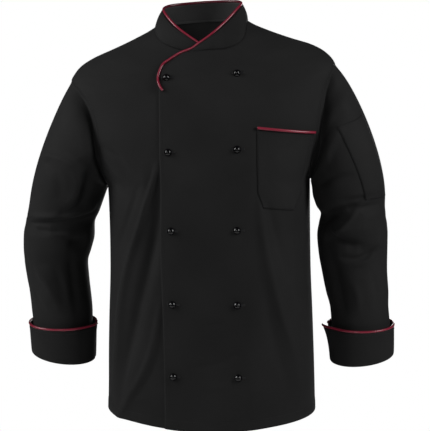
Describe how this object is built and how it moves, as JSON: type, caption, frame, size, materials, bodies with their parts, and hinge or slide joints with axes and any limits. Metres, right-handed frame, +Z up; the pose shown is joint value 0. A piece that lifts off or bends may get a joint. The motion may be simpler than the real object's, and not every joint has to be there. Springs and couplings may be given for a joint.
{
  "type": "chef jacket",
  "caption": "Black double-breasted chef jacket with long sleeves, turned-back cuffs, stand collar and red piping, in a hollow worn shape.",
  "frame": {"origin": "between the shoulders, on the middle plane of the neck, at the height where the collar seam meets the shoulder seams", "axes": "+Z up towards the collar, -Y towards the front, +X towards the wearer's left side"},
  "size_m": [0.7102, 0.274, 0.7943],
  "materials": {
    "twill": "black cotton-blend twill, matt",
    "collar_twill": "the same black twill, doubled and fused",
    "cuff_twill": "the same black twill, doubled",
    "pocket_twill": "the same black twill, edges turned under",
    "red_piping": "red satin bias tape over a cord",
    "stud": "black, polished"
  },
  "bodies": {
    "root": {"front_left": "twill", "front_right": "twill", "back": "twill", "sleeve_left": "twill", "sleeve_right": "twill", "cuff_left": "cuff_twill", "cuff_right": "cuff_twill", "collar": "collar_twill", "piping_collar": "red_piping", "piping_cuff_left": "red_piping", "piping_cuff_right": "red_piping", "chest_pocket": "pocket_twill", "piping_chest_pocket": "red_piping", "sleeve_pocket": "pocket_twill", "button_left_1": "stud", "button_left_2": "stud", "button_left_3": "stud", "button_left_4": "stud", "button_left_5": "stud", "button_right_1": "stud", "button_right_2": "stud", "button_right_3": "stud", "button_right_4": "stud", "button_right_5": "stud"}
  },
  "joints": []
}
